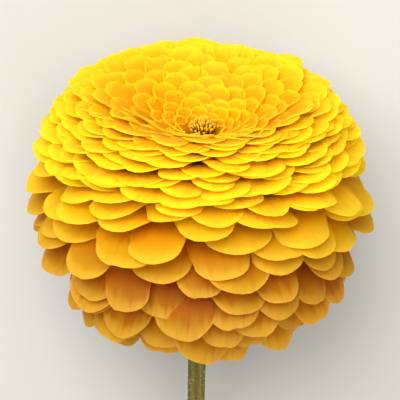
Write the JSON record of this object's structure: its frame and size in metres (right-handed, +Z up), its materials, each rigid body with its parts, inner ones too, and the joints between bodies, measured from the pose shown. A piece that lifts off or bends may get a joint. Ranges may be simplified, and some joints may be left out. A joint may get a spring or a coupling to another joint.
{
  "type": "zinnia flower",
  "caption": "Fully double yellow zinnia head with spiralled ray petals, a small floret disc, a green bract cup and a cut stem, lying on its side.",
  "frame": {"origin": "on the surface the flower lies on, under the middle of its box", "axes": "+Z up from that surface, the head faces -Y and a little upwards, and the stem runs to +Y"},
  "size_m": [0.112, 0.1838, 0.1078],
  "materials": {
    "petal": "matte",
    "floret": "matte",
    "bract": "matte",
    "stem": "matte"
  },
  "bodies": {
    "root": {"ray_petals": "petal", "disc_florets": "floret", "involucre": "bract", "stem": "stem"}
  },
  "joints": []
}
